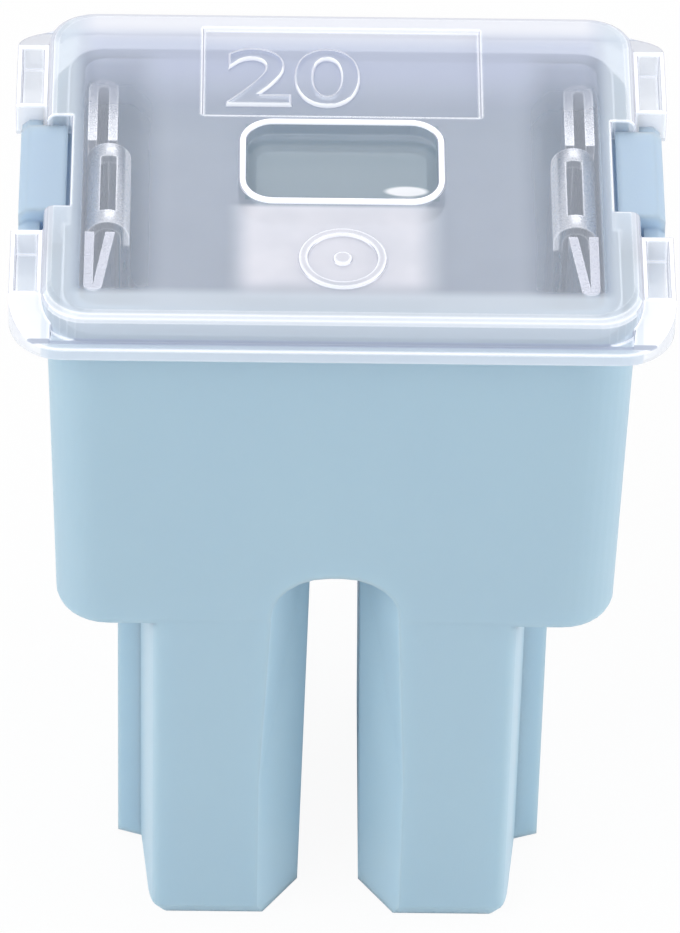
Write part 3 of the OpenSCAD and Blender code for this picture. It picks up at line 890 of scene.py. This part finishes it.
@dataclass
class RatingNumerals:
    """Raised numerals in the sunk panel on top of the cover."""

    text: str = "20"
    height: float = 2.1 * MM
    stretch: float = 1.15
    left: float = -2.73 * MM
    front: float = 2.05 * MM
    sink: float = 0.10 * MM
    relief: float = 0.10 * MM
    weight: float = 0.07 * MM
    rounding: float = 0.07 * MM
    rounding_steps: int = 2
    core: float = 0.01 * MM
    curve_steps: int = 8
    cap_share: float = 0.7  # height of a figure, as a share of the letters' size
    smooth_within: float = math.radians(30.0)
    # painted edge highlights on the numerals, and painted shade where an edge is seen edge-on
    finish: ClearPlastic = ClearPlastic(
        "clear_numerals", 0.08, edge_haze=0.85, edge_glow=0.2, edge_on_shade_colour=(0.80, 0.82, 0.92))

    def set_text(self) -> bpy.types.Object:
        """Sets the numerals and makes them a closed mesh.

        Returns:
            The numerals' object.
        """
        bpy.ops.object.select_all(action="DESELECT")
        bpy.ops.object.text_add()
        piece = bpy.context.object
        piece.name = "rating_numerals"
        letters = piece.data
        letters.body = self.text
        letters.size = self.height / self.cap_share
        letters.extrude = self.core
        letters.bevel_depth = self.rounding
        letters.offset = self.weight - self.rounding
        letters.bevel_resolution = self.rounding_steps
        letters.resolution_u = self.curve_steps
        bpy.ops.object.convert(target="MESH")
        bpy.ops.object.mode_set(mode="EDIT")
        bpy.ops.mesh.select_all(action="SELECT")
        bpy.ops.mesh.remove_doubles(threshold=MERGE_DISTANCE)
        bpy.ops.mesh.normals_make_consistent(inside=False)
        bpy.ops.object.mode_set(mode="OBJECT")
        bpy.ops.object.shade_smooth_by_angle(angle=self.smooth_within)
        return piece

    def build(self) -> bpy.types.Object:
        """Makes the numerals and puts them on the panel.

        Returns:
            The numerals' object.
        """
        piece = self.set_text()
        corners = [vertex.co for vertex in piece.data.vertices]
        low = Vector(min(co[axis] for co in corners) for axis in range(3))
        high = Vector(max(co[axis] for co in corners) for axis in range(3))
        grow = self.height / (high.y - low.y)
        panel_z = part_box("cover")[1].z - RIM_RISE - self.sink
        move = Vector((
            self.left - low.x * grow * self.stretch,
            self.front - low.y * grow,
            panel_z + self.relief - high.z,
        ))
        scale = Matrix.Diagonal((grow * self.stretch, grow, 1.0, 1.0))
        piece.data.transform(Matrix.Translation(move) @ scale)
        piece.data.materials.append(self.finish.material())
        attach(piece, ROOT)
        return piece


@dataclass
class Cover:
    """Clear moulding with painted edge highlights, and its numerals."""

    rounding: Rounding = Rounding(0.06 * MM)
    finish: CoverPlastic = CoverPlastic("clear_cover", 0.38)

    def build(self) -> list[bpy.types.Object]:
        """Dresses the CAD node and adds the numerals."""
        return [dress_node(Node.COVER, self.finish.material(), self.rounding), RatingNumerals().build()]


@dataclass
class Conductor:
    """Stamped element, its bead and the two springs."""

    strip: TinnedStrip = TinnedStrip(
        "tinned_strip", (0.85, 0.85, 0.88), (0.75, 0.75, 0.78), 0.28, (1.0, 1.0, 0.1))
    tin: SheetMetal = SheetMetal("cast_tin", (0.78, 0.78, 0.76), (0.62, 0.62, 0.61), 0.45)
    steel: SheetMetal = SheetMetal(
        "spring_strip", (0.52, 0.52, 0.54), (0.44, 0.44, 0.46), 0.28, (0.1, 1.0, 1.0))
    thin: Rounding = Rounding(0.03 * MM, 2)
    cast: Rounding = Rounding(0.06 * MM)

    def build(self) -> list[bpy.types.Object]:
        """Dresses the CAD nodes.

        Returns:
            Their objects.
        """
        steel = self.steel.material()
        return [
            dress_node(Node.ELEMENT, self.strip.material(), self.thin),
            dress_node(Node.BEAD, self.tin.material(), self.cast),
            dress_node(Node.LEFT_SPRING, steel, self.thin),
            dress_node(Node.RIGHT_SPRING, steel, self.thin),
        ]


# ---------------------------------------------------------------------------------- studio


@dataclass(frozen=True)
class Lamp:
    """A square soft lamp, in metres and watts."""

    name: str
    place: Triple
    side: float
    power: float

    def add(self, aim: Triple) -> None:
        """Puts the lamp up, facing the aim."""
        data = bpy.data.lights.new(self.name, "AREA")
        data.size = self.side
        data.energy = self.power
        lamp = bpy.data.objects.new(self.name, data)
        lamp.location = self.place
        lamp.rotation_euler = (Vector(self.place) - Vector(aim)).to_track_quat("Z", "Y").to_euler()
        bpy.context.scene.collection.objects.link(lamp)


@dataclass
class Studio:
    """Pale floor, soft light and the camera."""

    aim: Triple = (0.0, 0.0, 10.25 * MM)
    distance: float = 192.6 * MM
    azimuth: float = -1.11
    elevation: float = 43.46
    roll: float = 1.38
    lens: float = 306.5
    sensor: float = 36.0
    near_clip: float = 1.0 * MM
    nudge_right: float = 0.125 * MM
    nudge_up: float = 0.549 * MM
    ambient: float = 0.66
    floor_side: float = 1.2
    floor_drop: float = 0.02 * MM
    floor_colour: Colour = (0.95, 0.95, 0.95)
    floor_white: float = 0.93
    lamps: tuple[Lamp, ...] = (
        Lamp("key", (-0.16, -0.14, 0.24), 0.16, 0.20),
        Lamp("left_side", (-0.22, -0.03, 0.05), 0.16, 0.10),
        Lamp("right_side", (0.22, -0.03, 0.05), 0.16, 0.20),
        Lamp("rim", (0.02, 0.20, 0.16), 0.14, 0.10),
    )

    def camera(self) -> None:
        """Places the camera on its arc, aims it a little off the middle and rolls it."""
        az, el = math.radians(self.azimuth), math.radians(self.elevation)
        back = Vector((math.sin(az) * math.cos(el), -math.cos(az) * math.cos(el), math.sin(el)))
        right = Vector((math.cos(az), math.sin(az), 0.0))
        up = back.cross(right)
        aim = Vector(self.aim)
        eye = aim + back * self.distance
        target = aim + right * self.nudge_right + up * self.nudge_up
        back = (eye - target).normalized()
        right = up.cross(back).normalized()
        up = back.cross(right)
        roll = Matrix.Rotation(math.radians(self.roll), 3, "Z")
        turn = Matrix((right, up, back)).transposed() @ roll
        data = bpy.data.cameras.new("camera")
        data.lens = self.lens
        data.sensor_width = self.sensor
        data.clip_start = self.near_clip
        camera = bpy.data.objects.new("camera", data)
        camera.matrix_world = Matrix.Translation(eye) @ turn.to_4x4()
        bpy.context.scene.collection.objects.link(camera)
        bpy.context.scene.camera = camera

    def world(self) -> None:
        """White surroundings, at full strength where they are seen or mirrored."""
        world = bpy.data.worlds.new("studio")
        bpy.context.scene.world = world
        world.use_nodes = True
        sheet = NodeSheet(world.node_tree)
        path = sheet.node("ShaderNodeLightPath", {}, {})
        seen = Signal(sheet, path.outputs["Is Camera Ray"])
        glossy = Signal(sheet, path.outputs["Is Glossy Ray"])
        passed = Signal(sheet, path.outputs["Is Transmission Ray"])
        shown = sheet.signal("ShaderNodeClamp", {}, {"Value": seen + glossy + passed})
        strength = self.ambient + (1.0 - self.ambient) * shown
        light = sheet.node("ShaderNodeBackground", {}, {"Color": (*WHITE, 1.0), "Strength": strength})
        sheet.node("ShaderNodeOutputWorld", {}, {"Surface": light.outputs[0]})

    def floor(self) -> None:
        """A wide pale floor that keeps the shadow."""
        bpy.ops.object.select_all(action="DESELECT")
        bpy.ops.mesh.primitive_plane_add(size=self.floor_side, location=(0.0, 0.0, -self.floor_drop))
        floor = bpy.context.object
        floor.name = "floor"
        material, sheet = new_sheet("pale_floor")
        path = sheet.node("ShaderNodeLightPath", {}, {})
        seen = Signal(sheet, path.outputs["Is Camera Ray"])
        matt = sheet.node("ShaderNodeBsdfDiffuse", {}, {"Color": (*self.floor_colour, 1.0)})
        white = sheet.node("ShaderNodeEmission", {}, {"Color": (*WHITE, 1.0), "Strength": 1.0})
        inputs = {0: self.floor_white * seen, 1: matt.outputs[0], 2: white.outputs[0]}
        sheet.surface(sheet.node("ShaderNodeMixShader", {}, inputs))
        floor.data.materials.append(material)

    def build(self) -> None:
        """Builds the whole studio."""
        bpy.context.scene.view_settings.view_transform = "Standard"
        self.camera()
        self.world()
        self.floor()
        for lamp in self.lamps:
            lamp.add(self.aim)


def main() -> None:
    """Builds the fuse and the studio."""
    logging.basicConfig(level=logging.INFO, format="%(name)s: %(message)s")
    for maker in (Housing(), Cover(), Conductor()):
        for piece in maker.build():
            LOG.info("%s dressed %s", type(maker).__name__, piece.name)
    Studio().build()


if __name__ == "__main__":
    main()
